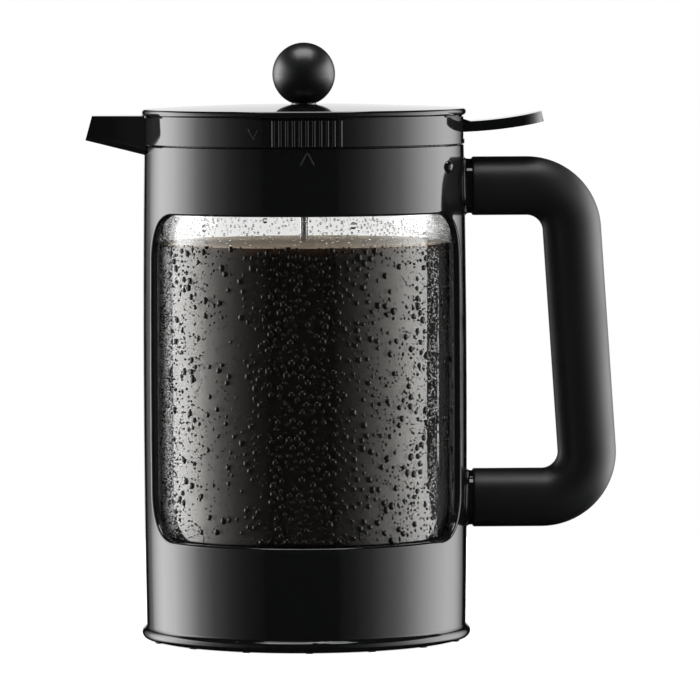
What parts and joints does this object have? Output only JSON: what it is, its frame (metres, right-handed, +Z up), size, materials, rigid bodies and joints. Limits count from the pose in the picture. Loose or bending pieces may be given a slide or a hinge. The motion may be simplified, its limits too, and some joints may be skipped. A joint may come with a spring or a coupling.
{
  "type": "cold brew coffee maker",
  "caption": "Cylindrical press-style cold brew coffee maker: glass beaker in a plastic frame with windows, side handle, spouted lid with thumb lever, and a plunger with a mesh filter.",
  "frame": {"origin": "on the table plane, on the beaker's vertical axis", "axes": "+Z up along the beaker's axis, +X towards the handle, -X towards the spout, -Y the side with the finger ribs"},
  "size_m": [0.1975, 0.1229, 0.2219],
  "materials": {
    "gloss_plastic": "gloss black moulding",
    "knob_plastic": "satin gloss black moulding",
    "soft_touch": "matte soft-touch black",
    "core_plastic": "plain black moulding",
    "bushing_plastic": "natural low-friction plastic",
    "rubber": "matte black",
    "silicone": "soft satin dark grey",
    "glass": "clear borosilicate glass",
    "polished_steel": "polished stainless steel",
    "filter_steel": "pressed stainless steel sheet",
    "mesh_steel": "woven stainless steel wire",
    "spring_steel": "drawn stainless spring wire",
    "screw_steel": "plain stainless steel",
    "brass": "turned brass"
  },
  "bodies": {
    "frame": {"frame": "gloss_plastic", "foot_ring": "rubber", "beaker_pad": "silicone", "beaker": "glass", "handle_core": "core_plastic", "handle_grip": "soft_touch", "handle_screws": "screw_steel"},
    "lid_seal": {"lid_seal": "silicone"},
    "lid": {"lid_body": "gloss_plastic", "rod_bushing": "bushing_plastic", "lid_cover": "gloss_plastic", "lever_pin": "screw_steel", "lever_spring": "spring_steel"},
    "lever": {"thumb_lever": "gloss_plastic", "stopper": "core_plastic", "stopper_seal": "silicone"},
    "plunger": {"knob": "knob_plastic", "knob_insert": "brass", "plunger_rod": "polished_steel", "spiral_plate": "filter_steel", "filter_coil": "spring_steel", "filter_mesh": "mesh_steel", "cross_plate": "filter_steel"}
  },
  "joints": [
    {"name": "lid_lift", "type": "slide", "parent": "frame", "child": "lid_seal", "axis": [0, 0, 1], "range_m": [0, 0.18]},
    {"name": "lid_turn", "type": "hinge", "parent": "lid_seal", "child": "lid", "pos_m": [0, 0, 0.18415], "axis": [0, 0, 1], "range_deg": [0, 19.5]},
    {"name": "plunger_slide", "type": "slide", "parent": "lid", "child": "plunger", "axis": [0, 0, 1], "range_m": [0, 0.145]},
    {"name": "lever_press", "type": "hinge", "parent": "lid", "child": "lever", "pos_m": [0.024, 0, 0.19035], "axis": [0, 1, 0], "range_deg": [0, 3], "stiffness_Nm_per_rad": 1.5, "springref_deg": -2.86, "deforming": ["lever_spring"]}
  ]
}
